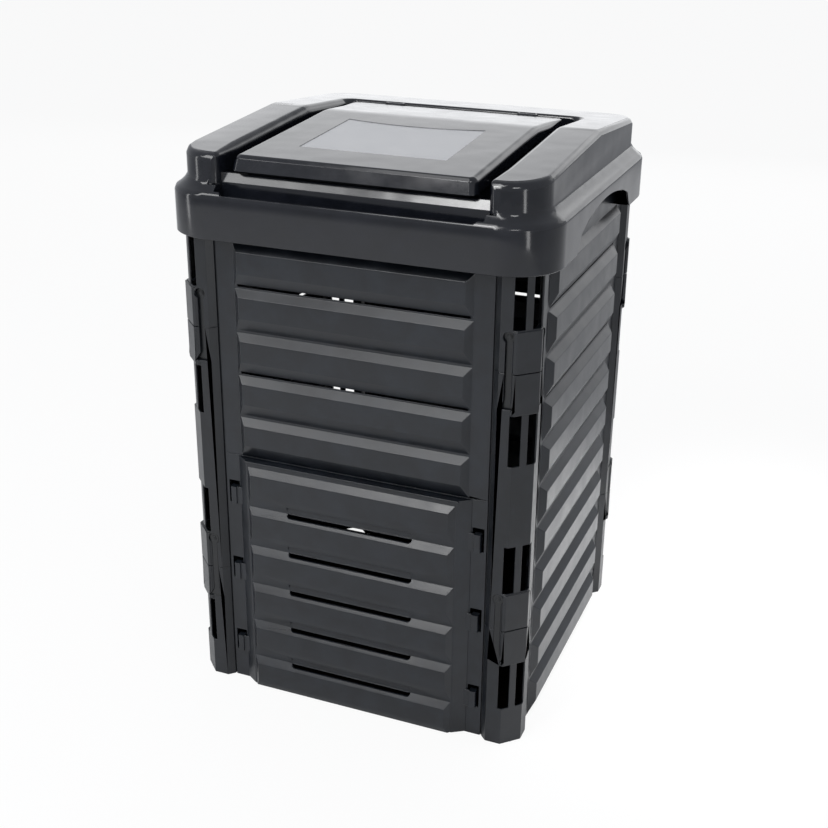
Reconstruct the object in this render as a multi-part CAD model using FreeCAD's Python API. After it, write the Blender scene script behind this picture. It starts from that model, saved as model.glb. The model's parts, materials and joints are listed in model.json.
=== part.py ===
import FreeCAD, Part
import math
import os

# Square garden compost bin of black moulded plastic: four walls in two tiers, four three-piece corner
# posts joined by lock keys, a lift-off hatch at the front, a lift-off hood and a hinged filling flap.
# Millimetres. The origin is the middle of the ground outline, +Z is up and -Y is the front.

# Overall plan, measured from the middle
STRIP = 290.0          # flat face of every wall
POST_FACE = 300.0      # flat faces of the corner posts
HOOD_HALF = 320.0      # outside of the hood's skirt
SKIN = 3.0             # moulded wall thickness
FIT = 0.4              # clearance between pieces that move

# Walls
TIER = 444.0           # height of the lower tier of walls
WALL_TOP = 874.0       # top edge of the upper tier and of the posts, under the hood's gutter
PANEL_HALF = 233.5     # half width of a wall panel
PITCH = 74.0           # height of one louvre
LOUVRES = 6            # louvres in the lower tier; the upper tier's top strip is plain
FIRST_LOUVRE = 70.5    # top edge of the lowest louvre above the tier's foot
LOUVRE_HALF = 201.4
LOUVRE_DEPTH = 11.0
LOUVRE_SLOPE = 12.0    # height of the sloping top
LOUVRE_FACE = 35.0     # height of the upright face
LOUVRE_UNDER = 23.0    # height of the part that runs back in
VENT_ROWS = (1, 3)     # louvres of an upper wall with a slit along their top edge
VENT_LOW = 2.5
VENT_HIGH = 7.0
VENT_HALF = 196.0
SEAM_DEPTH = 0.8       # shadow line where two mouldings meet
SEAM_HALF = 0.8

# Opening for the hatch, and the slots that its hooks drop into
HATCH_OPEN_HALF = 200.0
HATCH_SILL = 14.0
HATCH_HEAD = 430.0
FRAME_RIB = 10.0       # depth of the rib round the opening
HOOK_Z = (72.0, 220.0, 368.0)
HOOK_HIGH = 32.0
HOOK_DROP = 9.0        # the hatch lifts this far to come off its hooks
SLOT_IN = 209.5
SLOT_OUT = 229.0

# Hatch
HATCH_HALF = 208.0
HATCH_FRONT_HALF = 187.0
HATCH_FRONT = 304.3
HATCH_BACK = STRIP + 0.5
HATCH_BOTTOM = 1.5
HATCH_TOP = 442.0
HATCH_RIM = 2.6        # height of the narrow rim along the hatch's top edge
HATCH_RIM_HALF = 190.0
HATCH_RIM_PROUD = 2.2
HATCH_LEDGE = 294.0    # the top ledge stops here, so that it clears the louvre above when lifted
HATCH_LOUVRE_TOP = 62.5
HATCH_LOUVRE_HALF = 185.0
HATCH_LOUVRE_DEPTH = 9.0
HATCH_VENT_HALF = 112.0
HATCH_VENT_DROP = 7.0
HATCH_VENT_RISE = 12.0
HATCH_VENT_CORNER = 5.5
HOOK_IN = 213.0
HOOK_OUT = 225.0
HOOK_PROUD = 6.0
HOOK_FOOT = 8.0

# Corner posts
POST_EDGE = 236.0      # where the post meets the groove beside the wall
POST_SLANT = 10.0
POST_FLAT = 26.5
POST_FLANGE = 229.5    # the post's flange reaches behind the panel to here
SEAMS = (TIER / 2, TIER * 3 / 2)
CLIP_HALF = 66.0
CLIP_RAISE = 2.5
CLIP_START = 266.0
POST_SLOT_START = 265.4
POST_BAR = 12.0
POST_SLOT_NEAR = 68.0
POST_SLOT_FAR = 152.0

# Lock keys
KEY_X = 259.7
KEY_BAR = 10.0
KEY_HEAD = 9.0         # radius of the round head
KEY_REACH = 56.0
KEY_FLARE = 26.0       # width and height of the flared foot
KEY_FLARE_HIGH = 13.0
KEY_THICK = 3.0
KEY_GAP = 0.3
KEY_SINK = (0.2, 5.0)  # depth of the key's face below the post, at the lower and the upper seam

# Hood
HOOD_BOTTOM = 818.0
HOOD_CORNER = 85.0
RIDGE_Y = 25.0
RIDGE_Z = 971.0
EAVE_Y = 300.0
EAVE_FRONT_Z = 949.5
EAVE_REAR_Z = 950.0
RIDGE_SOFT = 14.0      # half length of the rounded ridge
RECESS_HALF = 219.0
RECESS_REAR = 191.0
RECESS_FRONT = -311.0
GUTTER_Z = 880.0
LIP_Z = 889.5
LIP_CORNER = 14.0
WING_ROUND = 15.0      # radius of each wing's front inner corner
WING_FRONT = -299.0
WING_FOOT = 902.0
ARCH_HALF = 158.0
ARCH_SHOULDER = (146.0, 847.0)
ARCH_CROWN = 871.0

# Collar round the filling opening, under the flap
COLLAR_BASE = (197.0, -284.0, 166.0)     # half width, front and rear at the gutter
COLLAR_TOP = (183.0, -262.0, 150.0)      # the same at COLLAR_TOP_Z
COLLAR_TOP_Z = 945.0
COLLAR_DROP = 27.0     # the rim lies this far under the roof line
COLLAR_CORNER = 22.0
OPENING = (178.0, -256.0, 144.0)

# Flap and its hinge
FLAP_LOW = (190.5, -293.0, 173.0)        # half width, front and rear at the flap's lower edge
FLAP_HIGH = (187.0, -284.0, 172.0)
FLAP_LOW_Z = 920.0
FLAP_HIGH_Z = 946.0
FLAP_CORNERS = (12.0, 20.0)
FLAP_SINK = 3.0
FLAP_DEPTH = 26.0
FLAP_SKIN = 2.5
HINGE_X = 125.0
HINGE_Y = 181.0
HINGE_Z = 952.5
KNUCKLE_RADIUS = 6.5
KNUCKLE_LONG = 26.0
LUG_THICK = 4.0
PIN_RADIUS = 2.5
PIN_PLAY = 0.1
LABEL_FRONT = (122.0, -208.5)
LABEL_REAR = (120.0, -26.0)
LABEL_BOW = 14.0
LABEL_DEPTH = 0.8


def vec(x, y, z):
    return FreeCAD.Vector(x, y, z)


def box(x0, x1, y0, y1, z0, z1):
    return Part.makeBox(x1 - x0, y1 - y0, z1 - z0, vec(x0, y0, z0))


def prism(points, z0, z1):
    """Upright prism over a plan outline."""
    wire = Part.makePolygon([vec(x, y, z0) for x, y in points + points[:1]])
    return Part.Face(wire).extrude(vec(0, 0, z1 - z0))


def side_prism(points, x0, x1):
    """Prism along X over an outline given as (y, z)."""
    wire = Part.makePolygon([vec(x0, y, z) for y, z in points + points[:1]])
    return Part.Face(wire).extrude(vec(x1 - x0, 0, 0))


def front_prism(points, y0, y1):
    """Prism along Y over an outline given as (x, z)."""
    wire = Part.makePolygon([vec(x, y0, z) for x, z in points + points[:1]])
    return Part.Face(wire).extrude(vec(0, y1 - y0, 0))


def ring(across, up, radius, count):
    """Corners of a round outline, faceted as a small moulding is."""
    step = 2 * math.pi / count
    return [(across + radius * math.sin((i + 0.5) * step), up + radius * math.cos((i + 0.5) * step))
            for i in range(count)]


def turned(shape, degrees):
    copy = shape.copy()
    copy.rotate(vec(0, 0, 0), vec(0, 0, 1), degrees)
    return copy


def swapped(points):
    """Plan points mirrored in the diagonal of the front right corner."""
    return [(-y, -x) for x, y in points]


def tapered(base, top, z0, z1, radii):
    """Upright body over a rectangle (half width, front, rear) that narrows to another, front and rear corners rounded."""
    across = front_prism([(-base[0], z0), (base[0], z0), (top[0], z1), (-top[0], z1)], base[1] - 1, base[2] + 1)
    along = side_prism([(base[1], z0), (base[2], z0), (top[2], z1), (top[1], z1)], -base[0] - 1, base[0] + 1)
    body = across.common(along)
    for radius, front in zip(radii, (True, False)):
        edges = [e for e in body.Edges
                 if e.BoundBox.ZLength > z1 - z0 - 0.01 and (e.BoundBox.Center.y < 0) == front]
        body = body.makeFillet(radius, edges)
    return body


def between(low, high, share):
    """Rectangle part of the way from one to another."""
    return tuple(a + (b - a) * share for a, b in zip(low, high))


def fuse_all(shapes):
    return shapes[0].multiFuse(shapes[1:]).removeSplitter()


def roof_height(y):
    if y < RIDGE_Y:
        return RIDGE_Z - (RIDGE_Y - y) * (RIDGE_Z - EAVE_FRONT_Z) / (RIDGE_Y + EAVE_Y)
    return RIDGE_Z - (y - RIDGE_Y) * (RIDGE_Z - EAVE_REAR_Z) / (EAVE_Y - RIDGE_Y)


def under_roof(drop, reach=340.0, floor=700.0):
    """Everything below the roof's low ridge, lowered by drop."""
    near = (RIDGE_Y - RIDGE_SOFT, roof_height(RIDGE_Y - RIDGE_SOFT) - drop)
    far = (RIDGE_Y + RIDGE_SOFT, roof_height(RIDGE_Y + RIDGE_SOFT) - drop)
    crown = (RIDGE_Y, (RIDGE_Z - drop + (near[1] + far[1]) / 2) / 2)
    points = [(-reach, floor), (-reach, roof_height(-reach) - drop), near, crown, far,
              (reach, roof_height(reach) - drop), (reach, floor)]
    edges = []
    for start, end in ((0, 1), (1, 2), (4, 5), (5, 6), (6, 0)):
        edges.append(Part.LineSegment(vec(-reach, *points[start]), vec(-reach, *points[end])).toShape())
    edges.append(Part.Arc(vec(-reach, *near), vec(-reach, *crown), vec(-reach, *far)).toShape())
    wire = Part.Wire(Part.__sortEdges__(edges))
    return Part.Face(wire).extrude(vec(2 * reach, 0, 0))


def pillow(half, top, depth, plane):
    """Outer solid and hollow of one louvre that stands out of the plane y = -plane, with 45 degree ends."""
    bottom = top - LOUVRE_SLOPE - LOUVRE_FACE - LOUVRE_UNDER
    side_in = SKIN * math.sqrt(2.0)
    top_in = SKIN * math.hypot(LOUVRE_SLOPE, depth) / depth
    under_in = SKIN * math.hypot(LOUVRE_UNDER, depth) / depth

    def body(back, front, side, over, below):
        def high(out):
            return top - over - out * LOUVRE_SLOPE / depth

        def low(out):
            return bottom + below + out * LOUVRE_UNDER / depth

        def wide(out):
            return half - side - out

        profile = [(-plane - back, low(back)), (-plane - front, low(front)),
                   (-plane - front, high(front)), (-plane - back, high(back))]
        plan = [(-wide(back), -plane - back), (-wide(front), -plane - front),
                (wide(front), -plane - front), (wide(back), -plane - back)]
        return side_prism(profile, -half, half).common(prism(plan, bottom - 10, top + 10))

    return body(0.0, depth, 0.0, 0.0, 0.0), body(-SKIN - 0.1, depth - SKIN, side_in, top_in, under_in)


def seam_cut(z, low_side):
    """Half of the shadow line along a panel's edge, on the outside."""
    z0, z1 = (z - SEAM_HALF, z + 1.0) if low_side else (z - 1.0, z + SEAM_HALF)
    return box(-PANEL_HALF - 5, PANEL_HALF + 5, -STRIP - 1, -STRIP + SEAM_DEPTH, z0, z1)


def wall_panel(base, top_edge, louvres, vents):
    """Front wall of one tier, louvres outwards."""
    plate = box(-PANEL_HALF, PANEL_HALF, -STRIP, -STRIP + SKIN, base, top_edge)
    outers, hollows = [], []
    for row in range(louvres):
        outer, hollow = pillow(LOUVRE_HALF, base + FIRST_LOUVRE + row * PITCH, LOUVRE_DEPTH, STRIP)
        outers.append(outer)
        hollows.append(hollow)
    panel = plate.multiFuse(outers).cut(hollows)
    cuts = [seam_cut(TIER, base == 0)]
    for row in vents:
        top = base + FIRST_LOUVRE + row * PITCH
        cuts.append(box(-VENT_HALF, VENT_HALF, -STRIP - LOUVRE_DEPTH, -STRIP + 20, top + VENT_LOW, top + VENT_HIGH))
    return panel.cut(cuts).removeSplitter()


def hook_slot(side, middle):
    x0, x1 = sorted((side * SLOT_IN, side * SLOT_OUT))
    low = middle - HOOK_HIGH / 2 - FIT
    return box(x0, x1, -STRIP - 5, -STRIP + 20, low, middle + HOOK_HIGH / 2 + HOOK_DROP + FIT)


def hatch_frame():
    """Lower front wall: a flat frame round the hatch opening, with a rib along its inner edge."""
    plate = box(-PANEL_HALF, PANEL_HALF, -STRIP, -STRIP + SKIN, 0, TIER)
    rib = box(-HATCH_OPEN_HALF - SKIN, HATCH_OPEN_HALF + SKIN, -STRIP, -STRIP + FRAME_RIB,
              HATCH_SILL - SKIN, HATCH_HEAD + SKIN)
    hole = box(-HATCH_OPEN_HALF, HATCH_OPEN_HALF, -STRIP - 1, -STRIP + 40, HATCH_SILL, HATCH_HEAD)
    cuts = [hole, seam_cut(TIER, True)]
    for side in (-1, 1):
        for middle in HOOK_Z:
            cuts.append(hook_slot(side, middle))
    return plate.fuse(rib).cut(cuts).removeSplitter()


def hatch_hook(side, middle):
    """Hook that goes through its slot and drops behind the strip."""
    low, high = middle - HOOK_HIGH / 2, middle + HOOK_HIGH / 2
    back = -STRIP + SKIN + FIT
    outline = [(-STRIP - HOOK_PROUD, low), (back, low), (back, low - HOOK_FOOT),
               (back + SKIN, low - HOOK_FOOT), (back + SKIN, high), (-STRIP - HOOK_PROUD, high)]
    x0, x1 = sorted((side * HOOK_IN, side * HOOK_OUT))
    block = side_prism(outline, x0, x1)
    outer_edges = [e for e in block.Edges
                   if abs(e.BoundBox.YMax + STRIP + HOOK_PROUD) < 0.01
                   and abs(abs(e.BoundBox.Center.x) - HOOK_OUT) < 0.01 and e.Length > HOOK_HIGH - 1]
    block = block.makeFillet(4.0, outer_edges)
    w0, w1 = sorted((side * (HATCH_HALF - 6.0), side * (HOOK_IN + 2.0)))
    web = box(w0, w1, -STRIP - 3.5, -HATCH_BACK, low, high)
    return block.fuse(web)


def hatch_vent(top):
    """Cuts and backing of one rounded vent slot in the slope of a hatch louvre."""
    low = top - HATCH_VENT_DROP
    front = box(-HATCH_VENT_HALF, HATCH_VENT_HALF, -HATCH_FRONT - 20, -HATCH_FRONT, low, top + HATCH_VENT_RISE)
    slit = box(-HATCH_VENT_HALF, HATCH_VENT_HALF, -HATCH_FRONT - 20, -HATCH_FRONT + 20, low, top - 0.5)
    cutters = []
    for tool in (front, slit):
        edges = [e for e in tool.Edges if e.BoundBox.YLength > 10 and abs(e.BoundBox.ZMin - low) < 0.01]
        cutters.append(tool.makeFillet(HATCH_VENT_CORNER, edges))
    backing = box(-HATCH_VENT_HALF - 2, HATCH_VENT_HALF + 2, -HATCH_FRONT, -HATCH_FRONT + SKIN,
                  top - 0.5, top + HATCH_VENT_RISE + 3)
    lip = box(-HATCH_VENT_HALF + 3, HATCH_VENT_HALF - 3, -HATCH_FRONT - 1.2, -HATCH_FRONT + 1, top - 0.5, top + 1.2)
    return cutters, backing.fuse(lip)


def hatch_door():
    """The hatch: a tray with bevelled sides that carries six louvres."""
    slope = (HATCH_HALF - HATCH_FRONT_HALF) / (HATCH_FRONT - HATCH_BACK)

    def half_at(y, inset):
        return HATCH_HALF - (y - HATCH_BACK) * slope - inset * math.hypot(slope, 1.0)

    def tray(inset, back, front, z0, z1):
        plan = [(-half_at(back, inset), -back), (-half_at(front, inset), -front),
                (half_at(front, inset), -front), (half_at(back, inset), -back)]
        return prism(plan, z0, z1)

    shell = tray(0.0, HATCH_BACK, HATCH_FRONT, HATCH_BOTTOM, HATCH_TOP)
    inner = tray(SKIN, HATCH_BACK - 1.0, HATCH_FRONT - SKIN, HATCH_BOTTOM + SKIN, HATCH_TOP - SKIN)
    open_top = tray(2.2, HATCH_BACK - 1.0, HATCH_LEDGE, HATCH_TOP - 6.0, HATCH_TOP + 10)
    rim = box(-HATCH_RIM_HALF, HATCH_RIM_HALF, -HATCH_FRONT - HATCH_RIM_PROUD, -HATCH_FRONT + 1.5,
              HATCH_TOP - HATCH_RIM, HATCH_TOP)
    outers, hollows, vents, backings = [], [], [], []
    for row in range(LOUVRES):
        top = HATCH_LOUVRE_TOP + row * PITCH
        outer, hollow = pillow(HATCH_LOUVRE_HALF, top, HATCH_LOUVRE_DEPTH, HATCH_FRONT)
        outers.append(outer)
        hollows.append(hollow)
        if row < LOUVRES - 1:
            cutters, backing = hatch_vent(top)
            vents += cutters
            backings.append(backing)
    below = box(-250, 250, -400, -200, -50, HATCH_BOTTOM)
    under = box(-250, 250, -400, -200, -50, HATCH_BOTTOM + SKIN)
    hollows[0] = hollows[0].cut(under)
    door = shell.cut([inner, open_top]).multiFuse(outers + [rim]).cut(hollows + [below])
    door = door.cut(vents).multiFuse(backings)
    hooks = [hatch_hook(side, middle) for side in (-1, 1) for middle in HOOK_Z]
    return door.multiFuse(hooks).removeSplitter()


def post_outer(inset):
    """Outside of the front right post in plan, from the wall on the left to the wall on the right."""
    root = math.sqrt(2.0)
    slant = POST_EDGE - STRIP + inset * root
    corner = POST_EDGE + POST_SLANT + POST_FLAT + POST_FACE - inset * root
    face = POST_FACE - inset
    half = [(POST_EDGE, slant - POST_EDGE), (slant + face, -face), (corner - face, -face)]
    return half + swapped(half)[::-1]


def post_plan(inset):
    """Closed outline of the post's section, with the flanges behind the two panels."""
    behind = STRIP - SKIN
    inner = behind - SKIN
    start = [(POST_FLANGE, -behind), (POST_EDGE, -behind)]
    back = post_outer(SKIN)
    slant = back[1][0] - POST_FACE + SKIN
    end = [(slant + inner, -inner), (POST_FLANGE, -inner)]
    return start + post_outer(inset) + swapped(start)[::-1] + swapped(end)[::-1] + back[1:-1][::-1] + end


def clip_plan(inset):
    """Raised plate over the post's corner, across a seam."""
    raised = post_outer(-CLIP_RAISE + inset)
    buried = post_outer(1.5)
    start = CLIP_START + CLIP_RAISE
    half = [(CLIP_START, -POST_FACE + 1.5), (CLIP_START, -POST_FACE), (start - inset, raised[2][1]), raised[2]]
    return half + swapped(half)[::-1] + [buried[3], buried[2]]


def key_profile(gap, y0, y1):
    """Key standing in the front face: round head at the top, flared foot at the bottom, middle at z = 0."""
    bar = KEY_BAR / 2 + gap
    wide = KEY_FLARE / 2 + gap
    foot = -KEY_REACH - gap - 2.0
    stem = box(KEY_X - bar, KEY_X + bar, y0, y1, foot + 2.0, KEY_REACH)
    head = front_prism(ring(KEY_X, KEY_REACH, KEY_HEAD + gap, 18), y0, y1)
    flare = front_prism([(KEY_X - wide, foot), (KEY_X + wide, foot), (KEY_X + bar, foot + KEY_FLARE_HIGH),
                         (KEY_X - bar, foot + KEY_FLARE_HIGH)], y0, y1)
    return fuse_all([stem, head, flare])


def mirrored_corner(shape):
    """Mirror in the diagonal plane of the front right corner."""
    return shape.mirror(vec(0, 0, 0), vec(1, 1, 0))


def key_socket(level):
    """Channel for one key, cut from the front face."""
    depth = KEY_SINK[level] + KEY_THICK
    shape = key_profile(KEY_GAP, -POST_FACE - 5, -POST_FACE + depth)
    shape.translate(vec(0, 0, SEAMS[level]))
    return shape


def key_pad(level, z0, z1):
    """Thickening behind the face that carries the key's channel."""
    back = -POST_FACE + KEY_SINK[level] + KEY_THICK + SKIN
    outside = post_outer(1.0)
    slant = outside[1][0] + outside[1][1]
    corner = outside[2][0] - outside[2][1]
    return prism([(slant - back, back), outside[1], outside[2], (corner + back, back)], z0, z1)


def lock_key(level):
    face = -POST_FACE + KEY_SINK[level]
    shape = key_profile(0.0, face, face + KEY_THICK)
    shape.translate(vec(0, 0, SEAMS[level]))
    return shape


def post_slots(z0, z1):
    """Two upright vent slots beside the bar on the post's corner."""
    corner = POST_EDGE + POST_SLANT + POST_FLAT + POST_FACE
    middle = corner / 2
    step = POST_BAR / 2 / math.sqrt(2.0)
    reach = 8.0
    plan = [(POST_SLOT_START, -POST_FACE - 10), (POST_SLOT_START, -POST_FACE + 8),
            (middle - step - reach, -middle - step + reach), (middle - step + reach, -middle - step - reach)]
    return [prism(plan, z0, z1), prism(swapped(plan)[::-1], z0, z1)]


def post_section(index):
    """One of the three pieces of the front right post: 0 foot, 1 middle, 2 top."""
    bottoms = (0.0, SEAMS[0], SEAMS[1])
    tops = (SEAMS[0], SEAMS[1], WALL_TOP)
    z0, z1 = bottoms[index], tops[index]
    groove0 = SEAM_HALF if index > 0 else 0.0
    groove1 = SEAM_HALF if index < 2 else 0.0
    solids = [prism(post_plan(0.0), z0 + groove0, z1 - groove1)]
    if groove0:
        solids.append(prism(post_plan(SEAM_DEPTH), z0, z0 + groove0))
    if groove1:
        solids.append(prism(post_plan(SEAM_DEPTH), z1 - groove1, z1))
    cuts = []
    for level, seam in enumerate(SEAMS):
        if seam not in (z0, z1):
            continue
        low, high = max(z0, seam - CLIP_HALF), min(z1, seam + CLIP_HALF)
        near0 = groove0 if seam == z0 else 0.0
        near1 = groove1 if seam == z1 else 0.0
        solids.append(prism(clip_plan(0.0), low + near0, high - near1))
        pad = key_pad(level, low, high)
        solids += [pad, mirrored_corner(pad)]
        socket = key_socket(level)
        cuts += [socket, mirrored_corner(socket)]
        if seam == z0:
            cuts += post_slots(seam + POST_SLOT_NEAR, seam + POST_SLOT_FAR)
        else:
            cuts += post_slots(seam - POST_SLOT_FAR, seam - POST_SLOT_NEAR)
    return solids[0].multiFuse(solids[1:]).cut(cuts).removeSplitter()


def hood_levels(levels):
    """Body with a rounded square plan from levels of (inset from the skirt, height), from the bottom up."""
    axis = HOOD_HALF - HOOD_CORNER
    z0, z1 = levels[0][1], levels[-1][1]
    profile = [(axis, z0)] + [(HOOD_HALF - inset, z) for inset, z in levels] + [(axis, z1)]
    section = Part.Face(Part.makePolygon([vec(x, axis, z) for x, z in profile + profile[:1]]))
    corner = section.revolve(vec(axis, axis, 0), vec(0, 0, 1), 90)
    side = section.extrude(vec(0, -2 * axis, 0))
    pieces = [box(-axis, axis, -axis, axis, z0, z1)]
    for angle in (0, 90, 180, 270):
        pieces += [turned(corner, angle), turned(side, angle)]
    return fuse_all(pieces)


def hand_hold():
    """Arch through both sides of the skirt, with rounded corners."""
    foot = HOOD_BOTTOM - 2.0
    side, high = ARCH_SHOULDER
    flare = 14.0
    edges = []
    points = [(-ARCH_HALF - flare, foot), (-ARCH_HALF, HOOD_BOTTOM + 12.0), (-side, high), (side, high),
              (ARCH_HALF, HOOD_BOTTOM + 12.0), (ARCH_HALF + flare, foot)]
    x0 = -HOOD_HALF - 10
    for start, end in ((0, 1), (1, 2), (3, 4), (4, 5), (5, 0)):
        edges.append(Part.LineSegment(vec(x0, *points[start]), vec(x0, *points[end])).toShape())
    edges.append(Part.Arc(vec(x0, *points[2]), vec(x0, 0, ARCH_CROWN), vec(x0, *points[3])).toShape())
    tool = Part.Face(Part.Wire(Part.__sortEdges__(edges))).extrude(vec(2 * HOOD_HALF + 20, 0, 0))
    corners = [e for e in tool.Edges if e.BoundBox.XLength > 100 and e.BoundBox.ZMin > foot + 1]
    return tool.makeFillet(9.0, corners)


def wing_round(side, grow):
    """Takes the sharp front inner corner off one wing."""
    radius = WING_ROUND - grow
    middle = (RECESS_HALF + WING_ROUND, WING_FRONT + WING_ROUND)
    near = (middle[0] - radius, middle[1])
    swing = (middle[0] - radius / math.sqrt(2.0), middle[1] - radius / math.sqrt(2.0))
    far = (middle[0], middle[1] - radius)
    corners = [far, (far[0], far[1] - 12.0), (near[0] - 2.0, far[1] - 12.0), (near[0] - 2.0, near[1]), near]
    points = [vec(side * x, y, WING_FOOT) for x, y in corners]
    edges = [Part.Arc(points[4], vec(side * swing[0], swing[1], WING_FOOT), points[0]).toShape()]
    for start, end in zip(points, points[1:]):
        edges.append(Part.LineSegment(start, end).toShape())
    return Part.Face(Part.Wire(edges)).extrude(vec(0, 0, 100))


def recess(grow, floor, lip):
    """Space between the two wings, seen from above; grow widens it for the hollow underneath."""
    half = RECESS_HALF + grow
    main = box(-half, half, RECESS_FRONT - (30.0 if grow else 0.0), RECESS_REAR + grow, floor, 1000)
    rear = [e for e in main.Edges if e.BoundBox.ZLength > 50 and e.BoundBox.YMin > 0]
    main = main.makeFillet(20.0 + grow, rear)
    notch = front_prism([(-half + LIP_CORNER, lip), (half - LIP_CORNER, lip), (half, lip + LIP_CORNER),
                         (half, 1000), (-half, 1000), (-half, lip + LIP_CORNER)], -340, RECESS_FRONT + 0.5)
    return main.multiFuse([notch, wing_round(-1, grow), wing_round(1, grow)]).removeSplitter()


def collar():
    """Sloping collar round the filling opening: outside, hollow and opening."""
    z0, z1 = GUTTER_Z - SKIN, COLLAR_TOP_Z

    def body(inset, drop):
        base = (COLLAR_BASE[0] - inset, COLLAR_BASE[1] + inset, COLLAR_BASE[2] - inset)
        top = (COLLAR_TOP[0] - inset, COLLAR_TOP[1] + inset, COLLAR_TOP[2] - inset)
        radius = COLLAR_CORNER - inset
        return tapered(base, top, z0, z1, (radius, radius)).common(under_roof(drop))

    opening = tapered(OPENING, OPENING, GUTTER_Z - 30, COLLAR_TOP_Z + 30, (18.0, 18.0))
    return body(0.0, COLLAR_DROP), body(SKIN, COLLAR_DROP + SKIN), opening


def hinge_lugs(x):
    """Two lugs on the recess's rear wall that carry one hinge pin."""
    lugs = []
    for side in (-1, 1):
        middle = x + side * (KNUCKLE_LONG / 2 + FIT + LUG_THICK / 2)
        near, low, high = HINGE_Y - KNUCKLE_RADIUS, HINGE_Z - KNUCKLE_RADIUS, HINGE_Z + KNUCKLE_RADIUS
        behind = RECESS_REAR + SKIN - 0.5
        outline = [(near, HINGE_Z - 3.0), (near + 3.5, low), (behind, low), (behind, HINGE_Z + 2.0),
                   (HINGE_Y + 4.0, high), (near + 3.5, high), (near, HINGE_Z + 3.0)]
        lugs.append(side_prism(outline, middle - LUG_THICK / 2, middle + LUG_THICK / 2))
    return lugs


def tilted(body, front, drop):
    """Turns a body made flat under z = 0 so that z = 0 lies drop under the roof's front or rear slope."""
    rise = RIDGE_Z - (EAVE_FRONT_Z if front else EAVE_REAR_Z)
    run = EAVE_Y + (RIDGE_Y if front else -RIDGE_Y)
    angle = math.degrees(math.atan2(rise, run))
    body.rotate(vec(0, RIDGE_Y, 0), vec(1, 0, 0), angle if front else -angle)
    body.translate(vec(0, 0, RIDGE_Z - drop))
    return body


def rimmed(body, inset, rim):
    """Body under the roof, with the edge between the roof and the sides taken off along the rim's levels."""
    body = body.common(under_roof(inset))
    for front in (True, False):
        lid = hood_levels([(inset - 6.0, -220.0), (inset - 6.0, -60.0)] + rim)
        body = body.common(tilted(lid, front, inset))
    return body


def hood():
    """Hood: skirt, shoulder, two wings and rear deck under a low ridge, gutter, collar and hinge lugs."""
    outer = hood_levels([(0.0, HOOD_BOTTOM), (0.0, 884.0), (2.6, 889.8), (8.0, 893.2), (16.5, 901.0), (21.5, 909.0),
                         (21.5, 985.0)])
    outer = rimmed(outer, 0.0, [(19.5, -14.0), (24.5, -4.0), (32.6, 1.0)])
    hollow = hood_levels([(SKIN, HOOD_BOTTOM - 1), (SKIN, 883.0), (SKIN + 21.5, 904.5), (SKIN + 21.5, 985.0)])
    hollow = rimmed(hollow, SKIN, [(SKIN + 21.0, -11.0), (SKIN + 31.9, 1.0)])
    shape = outer.cut(recess(0.0, GUTTER_Z, LIP_Z))
    hollow = hollow.cut(recess(SKIN, GUTTER_Z - SKIN, LIP_Z - SKIN))
    rim, rim_hollow, opening = collar()
    shape = shape.cut([hollow, hand_hold()])
    lugs = hinge_lugs(-HINGE_X) + hinge_lugs(HINGE_X)
    shape = shape.multiFuse([rim] + lugs).cut([rim_hollow, opening])
    bores = [Part.makeCylinder(PIN_RADIUS, 2 * (KNUCKLE_LONG / 2 + LUG_THICK + 2),
                               vec(x - KNUCKLE_LONG / 2 - LUG_THICK - 2, HINGE_Y, HINGE_Z), vec(1, 0, 0))
             for x in (-HINGE_X, HINGE_X)]
    shape = shape.cut(bores)
    return shape.multiFuse(rest_fins()).removeSplitter()


def rest_fins():
    """Fins under the shoulder that stand on the top edge of the walls."""
    fins = []
    bottom = WALL_TOP + FIT
    outline = [(-HOOD_HALF + 2.0, bottom), (-STRIP + 8.0, bottom), (-STRIP + 8.0, bottom + 6.0),
               (-HOOD_HALF + 17.0, 899.0), (-HOOD_HALF + 9.5, 892.5), (-HOOD_HALF + 2.5, 885.0)]
    for angle in (0, 90, 180, 270):
        for x in (-226.0, 226.0):
            fins.append(turned(side_prism(outline, x - SKIN / 2, x + SKIN / 2), angle))
    return fins


def flap_body(inset, low_drop, high_drop):
    """Space between two roof lines inside the flap's outline."""
    foot = between(FLAP_LOW, FLAP_HIGH, -0.5)
    head = between(FLAP_LOW, FLAP_HIGH, 2.0)
    z0 = FLAP_LOW_Z - (FLAP_HIGH_Z - FLAP_LOW_Z) / 2
    z1 = FLAP_HIGH_Z + (FLAP_HIGH_Z - FLAP_LOW_Z)
    foot = (foot[0] - inset, foot[1] + inset, foot[2] - inset)
    head = (head[0] - inset, head[1] + inset, head[2] - inset)
    shape = tapered(foot, head, z0, z1, (FLAP_CORNERS[0] - inset, FLAP_CORNERS[1] - inset))
    return shape.common(under_roof(high_drop)).cut(under_roof(low_drop))


def label_recess():
    """Shallow bare field on the flap, its rear edge bowed to the front."""
    z = RIDGE_Z + 20
    front_x, front_y = LABEL_FRONT
    rear_x, rear_y = LABEL_REAR
    corners = [vec(-front_x, front_y, z), vec(front_x, front_y, z), vec(rear_x, rear_y, z), vec(-rear_x, rear_y, z)]
    edges = [Part.LineSegment(corners[3], corners[0]).toShape(), Part.LineSegment(corners[0], corners[1]).toShape(),
             Part.LineSegment(corners[1], corners[2]).toShape(),
             Part.Arc(corners[2], vec(0, rear_y - LABEL_BOW, z), corners[3]).toShape()]
    block = Part.Face(Part.Wire(Part.__sortEdges__(edges))).extrude(vec(0, 0, -80))
    return block.cut(under_roof(FLAP_SINK + LABEL_DEPTH))


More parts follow.
